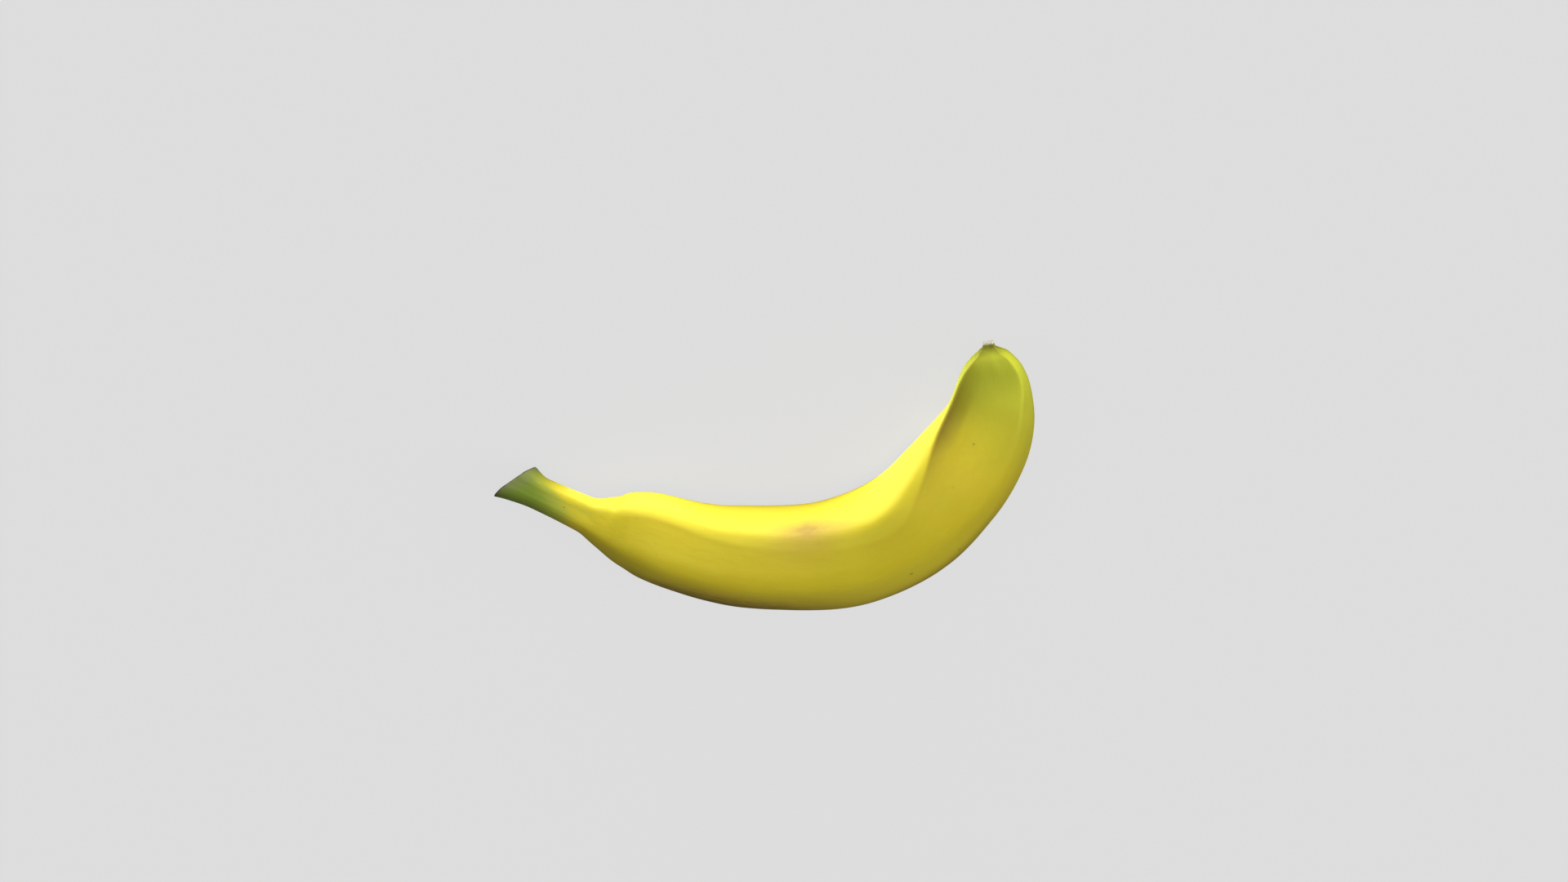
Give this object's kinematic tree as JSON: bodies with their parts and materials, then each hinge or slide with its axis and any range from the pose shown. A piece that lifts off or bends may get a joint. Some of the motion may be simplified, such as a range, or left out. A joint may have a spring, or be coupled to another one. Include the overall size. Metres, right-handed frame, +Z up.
{
  "type": "banana",
  "caption": "Whole yellow banana lying on its side, strongly curved, with flattened flanks, a swollen shoulder, a slant-cut green stem and a small blunt blossom tip.",
  "frame": {"origin": "on the surface the banana rests on, below the middle of its bounding box", "axes": "+X along the length from the stem to the blossom end, +Y towards the inner curve and both ends, +Z up, away from the surface it rests on"},
  "size_m": [0.1848, 0.0994, 0.041],
  "materials": {
    "peel": "waxy peel, yellow, green at the stem and greenish at the tip, with a faint brown bruise"
  },
  "bodies": {
    "root": {"banana": "peel"}
  },
  "joints": []
}
